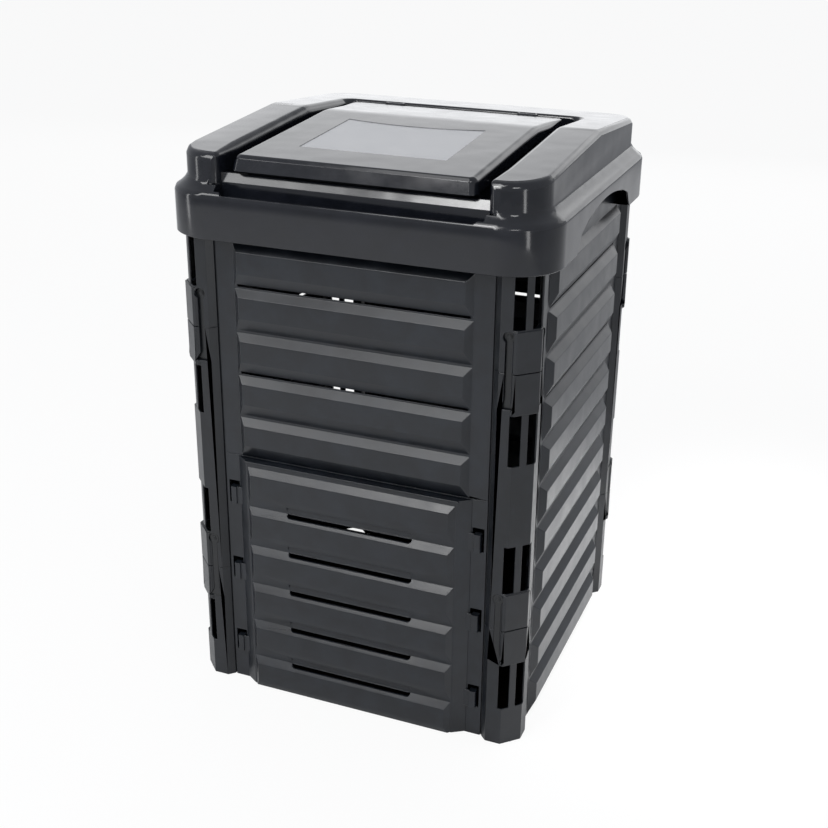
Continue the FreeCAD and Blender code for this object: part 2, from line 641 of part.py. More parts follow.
def flap():
    """Filling flap: a shallow pan that follows the roof line, with two hinge knuckles at the rear."""
    outer = flap_body(0.0, FLAP_DEPTH, FLAP_SINK)
    for front in (True, False):
        wide = (FLAP_HIGH[0] + 77.5, FLAP_HIGH[1] - 77.5, FLAP_HIGH[2] + 77.5)
        narrow = (FLAP_HIGH[0] - 3.5, FLAP_HIGH[1] + 3.5, FLAP_HIGH[2] - 3.5)
        lid = tapered(wide, narrow, -80.0, 1.0, FLAP_CORNERS)
        outer = outer.common(tilted(lid, front, FLAP_SINK))
    inner = flap_body(FLAP_SKIN, FLAP_DEPTH + 5, FLAP_SINK + FLAP_SKIN)
    shape = outer.cut([inner, label_recess()])
    knuckles, bores = [], []
    for x in (-HINGE_X, HINGE_X):
        start = vec(x - KNUCKLE_LONG / 2, HINGE_Y, HINGE_Z)
        outline = ring(HINGE_Y, HINGE_Z, KNUCKLE_RADIUS - 0.3, 16)
        knuckles.append(side_prism(outline, x - KNUCKLE_LONG / 2, x + KNUCKLE_LONG / 2))
        knuckles.append(box(x - KNUCKLE_LONG / 2, x + KNUCKLE_LONG / 2, FLAP_HIGH[2] - 3.0, HINGE_Y,
                            HINGE_Z - 2.0, HINGE_Z + 4.0))
        bores.append(Part.makeCylinder(PIN_RADIUS + PIN_PLAY, KNUCKLE_LONG + 2, start - vec(1, 0, 0), vec(1, 0, 0)))
    return shape.multiFuse(knuckles).cut(bores).removeSplitter()


def hinge_pin(x):
    reach = KNUCKLE_LONG / 2 + FIT + LUG_THICK
    return Part.makeCylinder(PIN_RADIUS, 2 * reach, vec(x - reach, HINGE_Y, HINGE_Z), vec(1, 0, 0))


def build():
    nodes = {}
    sides = (("front", 0), ("right", 90), ("back", 180), ("left", 270))
    upper = wall_panel(TIER, WALL_TOP, LOUVRES - 1, VENT_ROWS)
    lower = wall_panel(0.0, TIER, LOUVRES, ())
    for name, angle in sides:
        nodes[name + "_wall_upper"] = turned(upper, angle)
        if name != "front":
            nodes[name + "_wall_lower"] = turned(lower, angle)
    nodes["front_hatch_frame"] = hatch_frame()
    nodes["hatch_door"] = hatch_door()
    corners = (("front_right", 0), ("back_right", 90), ("back_left", 180), ("front_left", 270))
    sections = [post_section(index) for index in range(3)]
    keys = []
    for level in range(2):
        key = lock_key(level)
        keys += [key, mirrored_corner(key)]
    for name, angle in corners:
        for part, section in zip(("foot", "middle", "top"), sections):
            nodes[name + "_post_" + part] = turned(section, angle)
        nodes[name + "_lock_keys"] = Part.makeCompound([turned(key, angle) for key in keys])
    nodes["hood"] = hood()
    nodes["filling_flap"] = flap()
    nodes["left_hinge_pin"] = hinge_pin(-HINGE_X)
    nodes["right_hinge_pin"] = hinge_pin(HINGE_X)
    return nodes


os.makedirs("parts", exist_ok=True)
for node_name, node_shape in build().items():
    kept = node_shape if len(node_shape.Solids) > 1 else node_shape.Solids[0]
    kept.exportStep("parts/" + node_name + ".step")
    print(node_name, len(node_shape.Solids), round(node_shape.Volume / 1000.0, 1), node_shape.isValid())
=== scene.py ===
import json
import math

import bmesh
import bpy
from mathutils import Matrix, Vector

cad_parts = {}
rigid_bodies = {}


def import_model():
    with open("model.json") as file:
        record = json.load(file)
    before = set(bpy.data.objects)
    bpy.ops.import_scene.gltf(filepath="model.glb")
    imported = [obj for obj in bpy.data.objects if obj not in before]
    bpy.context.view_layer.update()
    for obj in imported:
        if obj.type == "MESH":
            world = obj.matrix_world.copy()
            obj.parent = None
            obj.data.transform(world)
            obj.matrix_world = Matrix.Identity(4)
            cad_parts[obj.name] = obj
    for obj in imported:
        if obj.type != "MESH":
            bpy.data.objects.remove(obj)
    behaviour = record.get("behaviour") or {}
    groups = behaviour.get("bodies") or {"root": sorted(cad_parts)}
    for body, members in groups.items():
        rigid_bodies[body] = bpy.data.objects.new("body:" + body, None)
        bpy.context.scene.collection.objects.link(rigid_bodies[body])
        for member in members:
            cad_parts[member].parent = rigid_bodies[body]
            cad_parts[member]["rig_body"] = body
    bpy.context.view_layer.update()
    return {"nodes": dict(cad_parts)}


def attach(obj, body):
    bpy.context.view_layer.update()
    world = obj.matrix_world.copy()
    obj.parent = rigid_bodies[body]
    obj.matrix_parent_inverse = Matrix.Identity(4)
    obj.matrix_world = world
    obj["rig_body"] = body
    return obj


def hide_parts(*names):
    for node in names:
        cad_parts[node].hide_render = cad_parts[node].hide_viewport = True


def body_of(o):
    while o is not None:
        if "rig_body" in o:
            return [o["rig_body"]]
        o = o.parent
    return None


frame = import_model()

# Compost bin of charcoal black polypropylene: louvred walls in two tiers between slotted corner posts,
# a lift-off hatch at the front, a gloss hood and a hinged filling flap.
# Metres, in the frame of the solids: the origin is the middle of the ground outline and -Y is the front.

CORNERS = ("front_right", "back_right", "back_left", "front_left")

# Louvred walls
STRIP = 0.290            # flat face of a wall, measured from the middle
PANEL_HALF = 0.2335
SKIN = 0.003
TIER = 0.444
WALL_TOP = 0.874
PITCH = 0.074
FIRST_LOUVRE = 0.0705    # top edge of a tier's lowest louvre
LOUVRE_HALF = 0.2014
LOUVRE_DEPTH = 0.011
SLOPE = 0.012            # a louvre's sloping top, upright face and undercut foot, each by its height
FACE = 0.035
UNDER = 0.023
VALLEY = 0.004
HEM = 0.0005             # plain strip under a tier's lowest louvre
SLIT_LOW = 0.0025
SLIT_HIGH = 0.0070
SLIT_HALF = 0.196

# Hood
RIDGE_Y = 0.025
RIDGE_Z = 0.971
RIDGE_SOFT = 0.014       # half the width of the ridge's round crown
EAVE_Y = 0.300
EAVE_FRONT_Z = 0.9495
EAVE_REAR_Z = 0.950
RECESS_HALF = 0.219
RECESS_REAR = 0.191
RECESS_CORNER = 0.020
WING_FRONT = -0.299
WING_CORNER = 0.015
WING_RADIUS = 0.014      # rounding along each wing's inner top edge
WING_BEND_RADIUS = 0.0085        # the same at the end of the wing's front corner
WING_NOSE_RADIUS = 0.002         # and where that corner starts
WING_BLEND = 0.030       # length over which it then grows to its full size
DECK_RADIUS = 0.006
COLLAR_SECTION = ((-0.2845, 0.8785), (-0.2845, 0.9035), (-0.2773, 0.9170), (-0.2700, 0.9170),
                  (-0.2745, 0.9035), (-0.2825, 0.8785))      # front of the collar, as (y, z)
COLLAR_BITE = 0.0008     # how far the collar's front reaches into the wings

# Filling flap
FLAP_SINK = 0.003        # its top lies this far under the hood's roof
FLAP_MIDDLE = 0.150      # what lies further out than this belongs to its sides
FLAP_SPREAD = 0.009      # its rolled sides reach this much further out than the plain solid's
FLAP_HIGH = (0.196, -0.284, 0.172)       # half width, front and rear of the flap at FLAP_HIGH_Z
FLAP_HIGH_Z = 0.946
FLAP_DRAFT = (0.1346, 0.346)             # how much the flap widens downwards, at the sides and in front
FLAP_CORNER = 0.012
FLAP_RADIUS = (0.0115, 0.0080)           # rounding along the flap's sides and its front
FLAP_TAIL = 0.026        # the rounding ends this far before the rear edge
FLAP_TAIL_RADIUS = 0.0015
FLAP_BLEND = 0.035       # length over which it grows from there to its full size
LABEL_FRONT = (0.122, -0.2085)           # half width and place of the label floor's ends
LABEL_REAR = (0.120, -0.026)
LABEL_DEPTH = (0.0005, 0.0015)           # its floor lies between these depths under the flap's top

# Lock keys
POST_FACE = 0.300
KEY_OFFSET = 0.2597
SEAMS = (0.222, 0.666)
KEY_SINK = (0.0002, 0.0050)      # depth of a key's face in the post at the lower and the upper seam
KEY_THICK = 0.003
KEY_HEAD = 0.009
KEY_REACH = 0.056        # from the seam up to the middle of the round head
KEY_FOOT = 0.058         # from the seam down to the flared foot's end
KEY_BAR = 0.010
KEY_FLARE = 0.026
KEY_FLARE_HIGH = 0.013
KEY_BOSSES = ((0.0048, 0.0011), (0.0030, 0.0019))        # radius and height of the steps on the head
KEY_BOSS_TAPER = 0.0004

# Mould radii, and how a mesh is finished
WALL_RADIUS = 0.0009
FRAME_RADIUS = 0.0007
HATCH_RADIUS = 0.0008
POST_RADIUS = 0.0007
KEY_RADIUS = 0.0005
HOOD_RADIUS = 0.0016
FLAP_EDGE_RADIUS = 0.0010
EDGE_SHARE = 0.42        # a radius takes at most this much of the shortest edge beside it
EDGE_ANGLE = 24.0        # degrees by which an edge has to turn to get a radius
HOOD_EDGE_ANGLE = 35.0
FLAP_EDGE_ANGLE = 20.0
KEY_EDGE_ANGLE = 30.0
ARC_STEPS = 8            # straight runs in a rounding's section, a corner of its path or one side of it
WELD = 1e-6              # points nearer than this are one
CELL_WELD = 0.00001      # the same between the cells of a wall
CUT_WELD = 0.00003       # and after a body was added or cut away
FLAT = math.radians(0.6)         # faces that meet at less than this are one
CRISP = math.radians(50)         # edges where faces meet at more than this stay crisp in the shading

# Plastic, camera and studio
WAVE_MM = 60             # sink waves and mottle of the plastic
MOTTLE_MM = 45
PLASTIC_IOR = 1.49
CAMERA_PLACE = (0.7931, -2.0018, 1.3640)
CAMERA_TURN = (21.83, 23.259, 0.621)     # azimuth, elevation and roll in degrees
CAMERA_LENS = 56.13
FLOOR_REACH = 14.0
FLOOR_GLOW = 0.9         # share of plain white in what the camera sees of the floor; the rest takes shadow
# Reach and height of the dark sheet of painted shade on the ground inside the bin
SHADE_SHEET_REACH = 0.287
SHADE_SHEET_HEIGHT = 0.0004
ROOM_LIGHT = 0.60


def colour(code):
    """Linear colour from an sRGB hex value."""
    parts = [int(code[i:i + 2], 16) / 255 for i in (1, 3, 5)]
    return [p / 12.92 if p <= 0.04045 else ((p + 0.055) / 1.055) ** 2.4 for p in parts] + [1.0]


def add(tree, kind, inputs=None, **settings):
    """Adds a node with its settings; an input is a value, or (node, output) for a link."""
    node = tree.nodes.new(kind)
    for name, value in settings.items():
        setattr(node, name, value)
    for name, value in (inputs or {}).items():
        if isinstance(value, tuple) and isinstance(value[0], bpy.types.Node):
            tree.links.new(value[0].outputs[value[1]], node.inputs[name])
        else:
            node.inputs[name].default_value = value
    return node


def empty_material(name):
    material = bpy.data.materials.new(name)
    material.use_nodes = True
    material.node_tree.nodes.clear()
    return material, material.node_tree


def polypropylene(name, tone, light_tone, roughness, grain_mm, grain_depth, wave_depth):
    """Injection-moulded polypropylene, black with a little grey in it.

    The eye gets a moulded skin: a spark-eroded grain, broad shallow sink waves that bend the reflections,
    and a faint mottle, slightly paler and duller than the rest. The real grain is about 0.1 mm across and
    too fine to show, so it is drawn as coarse as grain_mm.
    """
    material, tree = empty_material(name)
    place = add(tree, "ShaderNodeTexCoord")
    grain = add(tree, "ShaderNodeTexNoise", {"Vector": (place, "Object"), "Scale": 1000 / grain_mm,
                                             "Detail": 3.0, "Roughness": 0.6})
    wave = add(tree, "ShaderNodeTexNoise", {"Vector": (place, "Object"), "Scale": 1000 / WAVE_MM,
                                            "Detail": 1.0})
    mottle = add(tree, "ShaderNodeTexNoise", {"Vector": (place, "Object"), "Scale": 1000 / MOTTLE_MM,
                                              "Detail": 5.0, "Roughness": 0.62, "Distortion": 0.4})
    patch = add(tree, "ShaderNodeMapRange", {"Value": (mottle, "Fac"), "From Min": 0.40, "From Max": 0.66})
    tint = add(tree, "ShaderNodeMix", {"Factor": (patch, "Result"), "A": colour(tone),
                                       "B": colour(light_tone)}, data_type="RGBA")
    rough = add(tree, "ShaderNodeMapRange", {"Value": (mottle, "Fac"), "From Min": 0.35, "From Max": 0.65,
                                             "To Min": roughness - 0.03, "To Max": roughness + 0.04})
    broad = add(tree, "ShaderNodeBump", {"Height": (wave, "Fac"), "Distance": wave_depth, "Strength": 1.0})
    fine = add(tree, "ShaderNodeBump", {"Height": (grain, "Fac"), "Distance": grain_depth, "Strength": 1.0,
                                        "Normal": (broad, "Normal")})
    skin = add(tree, "ShaderNodeBsdfPrincipled", {"Base Color": (tint, "Result"), "IOR": PLASTIC_IOR,
                                                  "Roughness": (rough, "Result"),
                                                  "Normal": (fine, "Normal")})
    add(tree, "ShaderNodeOutputMaterial", {"Surface": (skin, "BSDF")})
    return material


# The walls and the hatch have a satin skin, the posts a slightly blacker and duller one.
WALL = polypropylene("moulded_polypropylene_wall", "#0f1217", "#171b21", 0.31, 1.3, 0.00002, 0.0006)
POST = polypropylene("moulded_polypropylene_post", "#0c0f13", "#14171c", 0.33, 1.3, 0.00002, 0.0005)
# The lock keys are small satin mouldings with hardly any sink waves.
KEY = polypropylene("moulded_polypropylene_key", "#0e1012", "#151719", 0.31, 1.3, 0.00003, 0.0003)
# The hood and its flap come from a polished mould: a gloss skin that draws soft streaks of the room.
HOOD = polypropylene("gloss_polypropylene_hood", "#101217", "#15171d", 0.13, 2.0, 0.000002, 0.0008)
# The bare label place has a dull floor. Its pale tone, far paler than the gloss skin round it, is a painted
# sheen: it stands in for the soft light that the dull floor throws back.
LABEL_FIELD_SHEEN = polypropylene("dull_polypropylene_label_field_painted_sheen", "#8e8f92", "#949598", 0.33, 2.0, 0.000002,
                            0.0003)
# The hinge pins are plain black rods without shine.
PIN = polypropylene("moulded_polypropylene_pin", "#0f1011", "#151617", 0.35, 1.3, 0.00002, 0.0002)


def new_object(name, mesh):
    piece = bpy.data.objects.new(name, mesh)
    bpy.context.scene.collection.objects.link(piece)
    return piece


def finished_mesh(work, name):
    mesh = bpy.data.meshes.new(name)
    work.to_mesh(mesh)
    work.free()
    return mesh


def baked(piece):
    """Gives the object the plain mesh that its modifiers make, and removes them."""
    depsgraph = bpy.context.evaluated_depsgraph_get()
    mesh = bpy.data.meshes.new_from_object(piece.evaluated_get(depsgraph), preserve_all_data_layers=True,
                                           depsgraph=depsgraph)
    piece.modifiers.clear()
    piece.data = mesh
    return piece


def round_edges(piece, width, angle):
    """Mould radii on the edges sharper than angle, narrower where short edges leave less room."""
    work = bmesh.new()
    work.from_mesh(piece.data)
    weights = work.edges.layers.float
    share = weights.get("bevel_weight_edge") or weights.new("bevel_weight_edge")
    room = {}
    for vert in work.verts:
        if vert.link_edges:
            room[vert] = min(edge.calc_length() for edge in vert.link_edges)
    for edge in work.edges:
        edge[share] = 0.0
        if len(edge.link_faces) == 2 and edge.calc_face_angle() > math.radians(angle):
            edge[share] = min(1.0, EDGE_SHARE * min(room[vert] for vert in edge.verts) / width)
    for face in work.faces:
        face.smooth = True
    work.to_mesh(piece.data)
    work.free()
    bevel = piece.modifiers.new("mould_radius", "BEVEL")
    bevel.width = width
    bevel.segments = 2
    bevel.limit_method = "WEIGHT"
    bevel.use_clamp_overlap = False
    bevel.loop_slide = True
    baked(piece)


def flatten_shading(piece):
    """Keeps broad faces flat and sharp edges crisp in the shading."""
    work = bmesh.new()
    work.from_mesh(piece.data)
    for face in work.faces:
        face.smooth = True
    for edge in work.edges:
        edge.smooth = len(edge.link_faces) == 2 and edge.calc_face_angle() < CRISP
    work.to_mesh(piece.data)
    work.free()
    flats = piece.modifiers.new("flat_shading", "WEIGHTED_NORMAL")
    flats.mode = "FACE_AREA"
    flats.weight = 50
    flats.keep_sharp = True
    baked(piece)


def merge_flat(mesh, distance):
    """Merges points that lie together, and faces that lie in one plane."""
    work = bmesh.new()
    work.from_mesh(mesh)
    bmesh.ops.remove_doubles(work, verts=work.verts, dist=distance)
    bmesh.ops.dissolve_limit(work, angle_limit=FLAT, verts=work.verts, edges=work.edges)
    work.to_mesh(mesh)
    work.free()


def welded_copy(node):
    """Mesh of a solid's shape, its loose triangles merged into whole faces."""
    mesh = frame["nodes"][node].data.copy()
    for layer in ("custom_normal", "sharp_edge", "sharp_face"):
        if layer in mesh.attributes:
            mesh.attributes.remove(mesh.attributes[layer])
    merge_flat(mesh, WELD)
    mesh.materials.clear()
    return mesh


def roof(y):
    """Height of the hood's low ridge, which is rounded at its crown."""
    if y < RIDGE_Y:
        fall = (RIDGE_Z - EAVE_FRONT_Z) / (RIDGE_Y + EAVE_Y)
    else:
        fall = (RIDGE_Z - EAVE_REAR_Z) / (EAVE_Y - RIDGE_Y)
    away = abs(y - RIDGE_Y)
    if away < RIDGE_SOFT:
        return RIDGE_Z - fall * (RIDGE_SOFT ** 2 + away ** 2) / (2 * RIDGE_SOFT)
    return RIDGE_Z - fall * away


def closed_strip(name, rings, warped=False):
    """Solid that joins each ring of places to the next one; a warped one is cut into triangles."""
    work = bmesh.new()
    rings = [[work.verts.new(place) for place in ring] for ring in rings]
    for near, far in zip(rings, rings[1:]):
        for i in range(len(near)):
            j = (i + 1) % len(near)
            work.faces.new((near[i], near[j], far[j], far[i]))
    work.faces.new(rings[0])
    work.faces.new(rings[-1])
    if warped:
        bmesh.ops.triangulate(work, faces=work.faces)
    bmesh.ops.recalc_face_normals(work, faces=work.faces)
    return new_object(name, finished_mesh(work, name))


def swept(name, path, outline, sink=0.0):
    """Closed strip along a plan path of (x, y, normal x, normal y, radius, draft).

    outline gives the section for a radius and a draft as (along the normal, up from the roof).
    """
    rings = []
    for x, y, nx, ny, radius, draft in path:
        ring = []
        for inward, up in outline(radius, draft):
            place = (x + inward * nx, y + inward * ny)
            ring.append((place[0], place[1], roof(place[1]) - sink + up))
        rings.append(ring)
    return closed_strip(name, rings, warped=True)


def round_off(radius, draft):
    """Section of what a rounded edge takes away from a sharp one, with a little to spare outside."""
    spare, outside = 0.00002, 0.004
    middle = radius * (math.hypot(1.0, draft) - draft)
    start = math.atan(draft)
    section = []
    for i in range(ARC_STEPS + 1):
        turn = start + i * (math.pi / 2 - start) / ARC_STEPS
        section.append((middle - radius * math.cos(turn) - spare, radius * math.sin(turn) - radius + spare))
    low = section[0]
    return [(low[0] - outside, low[1])] + section + [(middle, outside), (-outside - draft * radius, outside)]


def backing(radius, draft):
    """Section of the corner's thicker inside, which the rounding doesn't reach."""
    skin, web = 0.0015, 0.0040
    deep = max(radius - 0.0005, 0.0050)
    return [(skin, -skin), (deep, -skin), (deep, -web), (web, -deep), (skin, -deep)]


def ridge_stations(start, end):
    """Places along Y at which a strip follows the roof, closer together over the ridge."""
    soft = [RIDGE_Y + RIDGE_SOFT * i / 3 for i in range(-3, 4)]
    even = [start + (end - start) * i / ARC_STEPS for i in range(ARC_STEPS + 1)]
    clear = RIDGE_SOFT + 0.004
    return sorted([y for y in soft if start < y < end] + [y for y in even if abs(y - RIDGE_Y) > clear])


def with_mirror(half):
    """A plan path with its mirror image behind it."""
    return half + [(-x, y, -nx, ny, radius, draft) for x, y, nx, ny, radius, draft in reversed(half)]


def recess_path(front_corners):
    """Path along the wings' inner edges and the rear deck's edge."""
    half = []
    for i in range(ARC_STEPS if front_corners else 0):
        turn = math.pi / 2 * (1 - i / ARC_STEPS)
        x = RECESS_HALF + WING_CORNER * (1 - math.cos(turn))
        y = WING_FRONT + WING_CORNER * (1 - math.sin(turn))
        radius = WING_NOSE_RADIUS + (WING_BEND_RADIUS - WING_NOSE_RADIUS) * math.cos(turn)
        half.append((x, y, math.cos(turn), math.sin(turn), radius, 0.0))
    front = WING_FRONT + WING_CORNER
    bend = RECESS_REAR - RECESS_CORNER
    for y in ridge_stations(front, bend):
        full = min(1.0, (y - front) / WING_BLEND)
        radius = WING_BEND_RADIUS + (WING_RADIUS - WING_BEND_RADIUS) * full
        half.append((RECESS_HALF, y, 1.0, 0.0, radius, 0.0))
    for i in range(1, ARC_STEPS + 1):
        turn = math.pi / 2 * i / ARC_STEPS
        x = RECESS_HALF - RECESS_CORNER * (1 - math.cos(turn))
        y = bend + RECESS_CORNER * math.sin(turn)
        radius = WING_RADIUS + (DECK_RADIUS - WING_RADIUS) * i / ARC_STEPS
        half.append((x, y, math.cos(turn), math.sin(turn), radius, 0.0))
    return with_mirror(half)


def flap_path():
    """Path along the flap's top edge, from its right side round the front to its left side."""
    half = []
    side, ahead = FLAP_DRAFT
    front = FLAP_HIGH[1] + ahead * (roof(FLAP_HIGH[1]) - FLAP_SINK - FLAP_HIGH_Z)
    rear = FLAP_HIGH[2] - FLAP_TAIL
    for y in reversed(ridge_stations(front + FLAP_CORNER, rear)):
        x = FLAP_HIGH[0] - side * (roof(y) - FLAP_SINK - FLAP_HIGH_Z)
        full = min(1.0, (rear - y) / FLAP_BLEND)
        radius = FLAP_TAIL_RADIUS + (FLAP_RADIUS[0] - FLAP_TAIL_RADIUS) * full
        half.append((x, y, -1.0, 0.0, radius, side))
    middle = (half[-1][0] - FLAP_CORNER, front + FLAP_CORNER)
    for i in range(1, ARC_STEPS + 1):
        turn = math.pi / 2 * i / ARC_STEPS
        x = middle[0] + FLAP_CORNER * math.cos(turn)
        y = middle[1] - FLAP_CORNER * math.sin(turn)
        radius = FLAP_RADIUS[0] + (FLAP_RADIUS[1] - FLAP_RADIUS[0]) * i / ARC_STEPS
        draft = side + (ahead - side) * i / ARC_STEPS
        half.append((x, y, -math.cos(turn), math.sin(turn), radius, draft))
    return with_mirror(half)


def collar_front():
    """Front of the collar from wing to wing: upright in the gutter, then sloping back under the flap."""
    reach = RECESS_HALF + COLLAR_BITE
    return closed_strip("collar_front", [[(x, y, z) for y, z in COLLAR_SECTION] for x in (-reach, reach)])


def shaped(piece, steps):
    """Adds bodies to a moulding, or takes them away; the cut faces keep its material."""
    for operation, body in steps:
        body.data.materials.append(piece.data.materials[0])
        change = piece.modifiers.new("shaping", "BOOLEAN")
        change.solver = "MANIFOLD"
        change.operation = operation
        change.object = body
        baked(piece)
        bpy.data.objects.remove(body)
    while None in list(piece.data.materials):
        piece.data.materials.pop(index=list(piece.data.materials).index(None))
    merge_flat(piece.data, CUT_WELD)


def widen(mesh, middle, spread):
    """Moves everything beyond the middle part out by spread, at both sides."""
    for vert in mesh.vertices:
        if abs(vert.co.x) > middle:
            vert.co.x += math.copysign(spread, vert.co.x)


def moulding(node, material, width, angle=EDGE_ANGLE, steps=(), spread=0.0):
    """Piece with a solid's own shape and rounded edges; spread moves a flap's sides outwards."""
    mesh = welded_copy(node)
    mesh.materials.append(material)
    if spread:
        widen(mesh, FLAP_MIDDLE, spread)
    piece = new_object(node + "_moulding", mesh)
    round_edges(piece, width, angle)
    if steps:
        shaped(piece, steps)
    flatten_shading(piece)
    body = body_of(frame["nodes"][node])[0]
    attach(piece, body)
    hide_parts(node)
    return piece


# Louvred walls. A cell runs from the middle of one louvre's face to the middle of the next one's, and is
# given by its outside alone, as (across, up from the lower louvre's top edge, out from the strip).

def point(across, up, out):
    return Vector((across, -STRIP - out, up))


def cell_mesh(name, faces):
    """Mesh of flat faces, each a list of (across, up, out), seen from outside counter-clockwise."""
    work = bmesh.new()
    for corners in faces:
        work.faces.new([work.verts.new(point(*corner)) for corner in corners])
    bmesh.ops.remove_doubles(work, verts=work.verts, dist=WELD)
    return finished_mesh(work, name)


def louvre_top(low):
    """Faces of a louvre's upper part, from the height low on its upright face to its top edge at 0."""
    base, crest, deep = LOUVRE_HALF, LOUVRE_HALF - LOUVRE_DEPTH, LOUVRE_DEPTH
    return [[(-base, 0, 0), (-crest, -SLOPE, deep), (crest, -SLOPE, deep), (base, 0, 0)],
            [(-crest, -SLOPE, deep), (-crest, low, deep), (crest, low, deep), (crest, -SLOPE, deep)],
            [(crest, -SLOPE, deep), (crest, low, deep), (base, low, 0), (base, 0, 0)],
            [(-crest, -SLOPE, deep), (-base, 0, 0), (-base, low, 0), (-crest, low, deep)]]


def louvre_foot(foot, high, slit):
    """Faces of a louvre's lower part, from its bottom edge at foot to the height high on its upright face."""
    base, crest, deep = LOUVRE_HALF, LOUVRE_HALF - LOUVRE_DEPTH, LOUVRE_DEPTH
    shin = foot + UNDER
    notch = []
    if slit:
        cut = (SLIT_HIGH - foot) * LOUVRE_DEPTH / UNDER
        notch = [(-SLIT_HALF, foot, 0), (-SLIT_HALF, SLIT_HIGH, cut), (SLIT_HALF, SLIT_HIGH, cut),
                 (SLIT_HALF, foot, 0)]
    under = [(-base, foot, 0)] + notch + [(base, foot, 0), (crest, shin, deep), (-crest, shin, deep)]
    return [under,
            [(-crest, shin, deep), (crest, shin, deep), (crest, high, deep), (-crest, high, deep)],
            [(crest, shin, deep), (base, foot, 0), (base, high, 0), (crest, high, deep)],
            [(-crest, shin, deep), (-crest, high, deep), (-base, high, 0), (-base, foot, 0)]]


def valley_cell(slit):
    """One valley with the half louvres below and above it; the slit leaves a free tongue above."""
    low = -SLOPE - FACE / 2
    high = low + PITCH
    edge, base = PANEL_HALF, LOUVRE_HALF
    rim = [(base, VALLEY, 0), (-base, VALLEY, 0)]
    if slit:
        rim = [(base, VALLEY, 0), (SLIT_HALF, VALLEY, 0), (SLIT_HALF, SLIT_LOW, 0),
               (-SLIT_HALF, SLIT_LOW, 0), (-SLIT_HALF, VALLEY, 0), (-base, VALLEY, 0)]
    strip = [(-edge, low, 0), (-base, low, 0), (-base, 0, 0), (base, 0, 0), (base, low, 0), (edge, low, 0),
             (edge, high, 0), (base, high, 0)] + rim + [(-base, high, 0), (-edge, high, 0)]
    faces = louvre_top(low) + louvre_foot(VALLEY, high, slit) + [strip]
    return cell_mesh("slit_cell" if slit else "valley_cell", faces)


def foot_cell():
    """The panel's lower end: a narrow hem and the lower half of the first louvre."""
    foot = -UNDER - FACE - SLOPE
    low, high = foot - HEM, -SLOPE - FACE / 2
    edge, base = PANEL_HALF, LOUVRE_HALF
    strip = [(-edge, low, 0), (edge, low, 0), (edge, high, 0), (base, high, 0), (base, foot, 0),
             (-base, foot, 0), (-base, high, 0), (-edge, high, 0)]
    return cell_mesh("foot_cell", louvre_foot(foot, high, False) + [strip])


def head_cell(high):
    """The panel's upper end: the upper half of the last louvre and a plain hem."""
    low = -SLOPE - FACE / 2
    edge, base = PANEL_HALF, LOUVRE_HALF
    strip = [(-edge, low, 0), (-base, low, 0), (-base, 0, 0), (base, 0, 0), (base, low, 0), (edge, low, 0),
             (edge, high, 0), (-edge, high, 0)]
    return cell_mesh("head_cell", louvre_top(low) + [strip])


def new_tree(name, inputs, output):
    """Geometry node tree with its named inputs, given as (kind of socket, names), and its input node."""
    tree = bpy.data.node_groups.new(name, "GeometryNodeTree")
    for kind, names in inputs:
        for socket in names:
            tree.interface.new_socket(socket, in_out="INPUT", socket_type=kind)
    tree.interface.new_socket(output, in_out="OUTPUT", socket_type="NodeSocketGeometry")
    return tree, add(tree, "NodeGroupInput")


